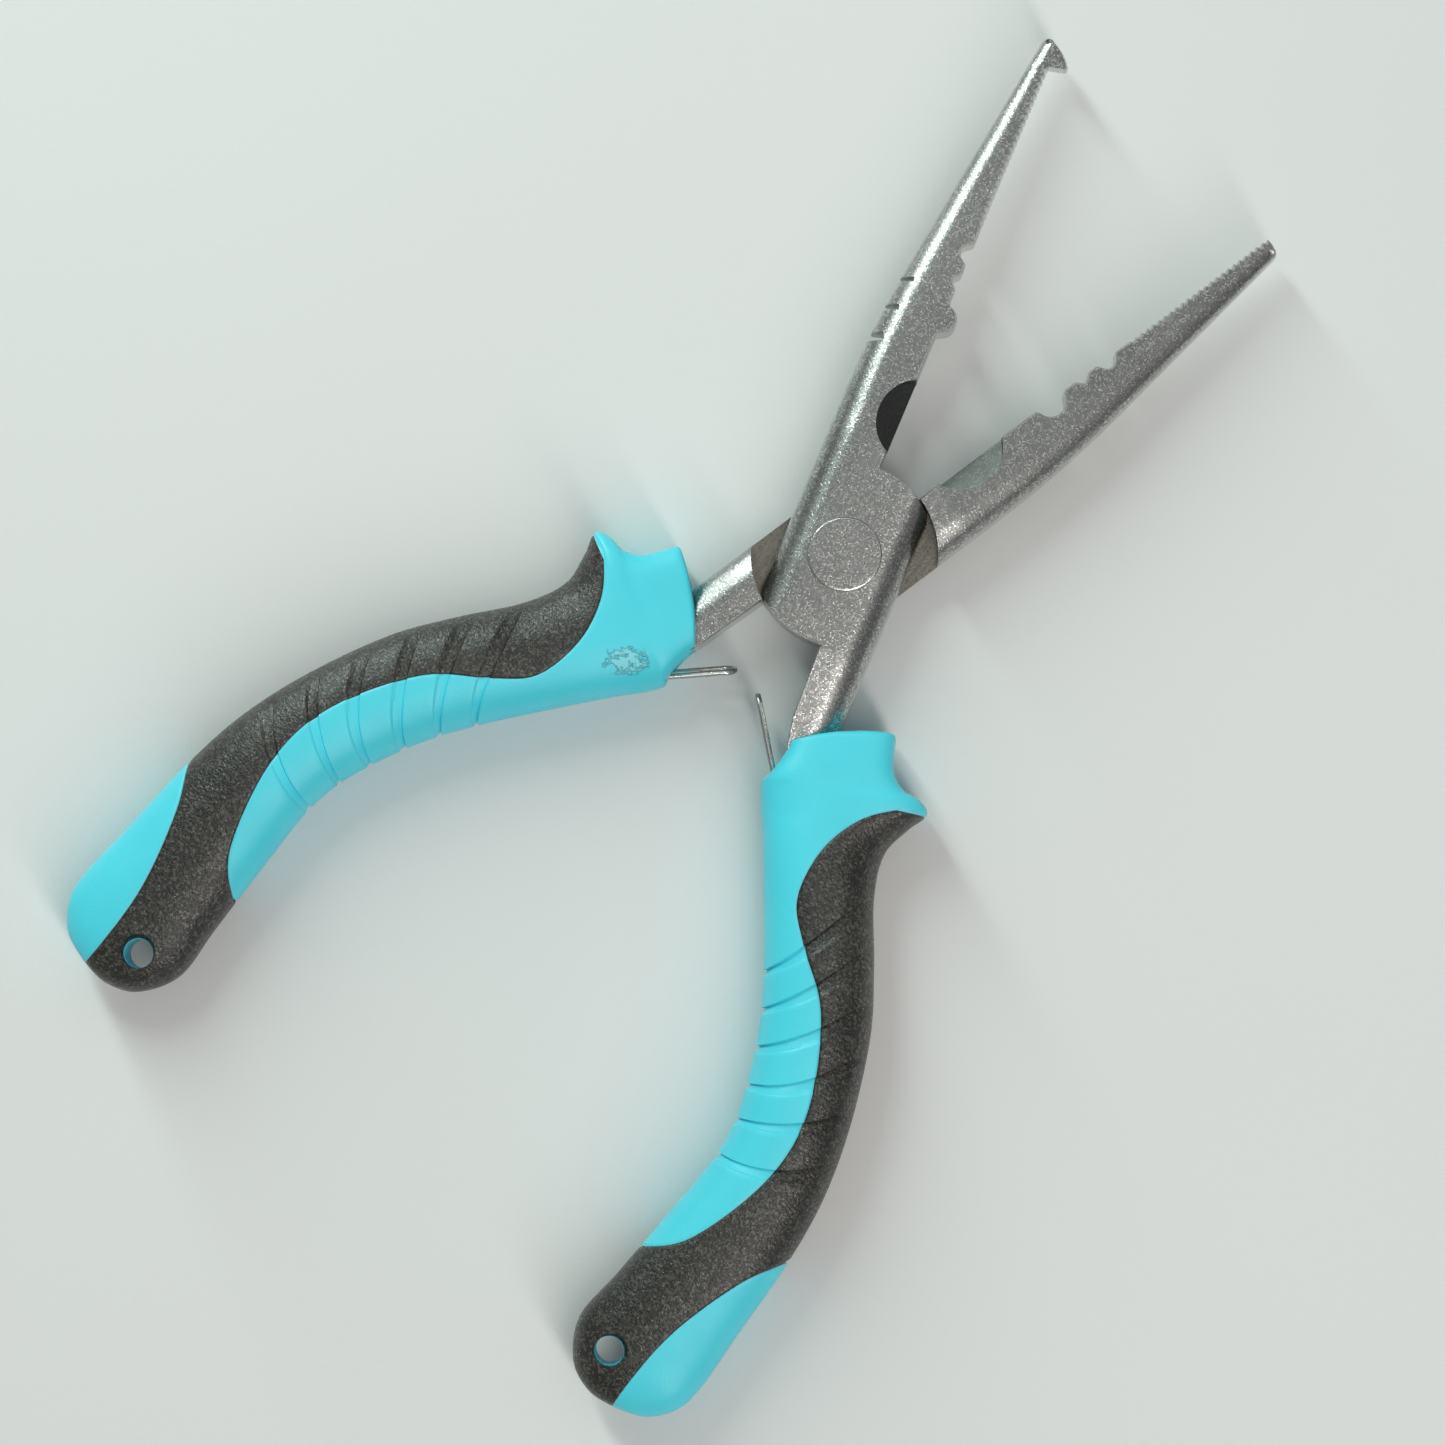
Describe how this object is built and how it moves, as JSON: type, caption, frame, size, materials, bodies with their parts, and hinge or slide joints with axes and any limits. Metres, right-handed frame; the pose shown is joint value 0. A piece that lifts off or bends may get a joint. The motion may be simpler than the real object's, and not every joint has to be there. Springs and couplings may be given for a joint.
{
  "type": "fishing pliers",
  "caption": "Long-nose fishing pliers with a split-ring hook, serrated jaws, side cutter, lap joint, hairpin springs and two-colour curved grips, shown open.",
  "frame": {"origin": "pivot axis, at the flat under face of the lap joint", "axes": "+Z along the pivot axis, up from the under face; +Y along the jaws, on the line midway between them; +X towards the hook lever's handle"},
  "size_m": [0.1136, 0.1917, 0.016],
  "materials": {
    "forged_steel": "bead-blasted forged steel, satin, with brighter rounded edges",
    "rivet_steel": "ground flush and bead-blasted with the levers",
    "spring_wire": "bright drawn nickel-coloured wire",
    "grip_core": "satin moulded cyan plastic",
    "grip_skin": "soft black moulded rubber with a coarse sparkling grain"
  },
  "bodies": {
    "hook_lever": {"lever_hook": "forged_steel", "pivot_rivet": "rivet_steel", "grip_core_hook": "grip_core", "grip_skin_hook": "grip_skin"},
    "plain_lever": {"lever_plain": "forged_steel", "grip_core_plain": "grip_core", "grip_skin_plain": "grip_skin"},
    "hook_spring": {"spring_hook": "spring_wire"},
    "plain_spring": {"spring_plain": "spring_wire"}
  },
  "joints": [
    {"name": "jaw_pivot", "type": "hinge", "parent": "hook_lever", "child": "plain_lever", "pos_m": [0, 0, 0.0054], "axis": [0, 0, -1], "range_deg": [-30.2, 30]},
    {"name": "hook_spring_bend", "type": "hinge", "parent": "hook_lever", "child": "hook_spring", "pos_m": [0.01198, -0.03136, 0.0054], "axis": [0, 0, 1], "range_deg": [-21.6, 21.5]},
    {"name": "plain_spring_bend", "type": "hinge", "parent": "plain_lever", "child": "plain_spring", "pos_m": [-0.01017, -0.02926, 0.0054], "axis": [0, 0, -1], "range_deg": [-24.4, 24.2]}
  ],
  "couplings": [
    {"joint": "hook_spring_bend", "follows": "jaw_pivot", "ratio": 0.715},
    {"joint": "plain_spring_bend", "follows": "jaw_pivot", "ratio": 0.805}
  ]
}
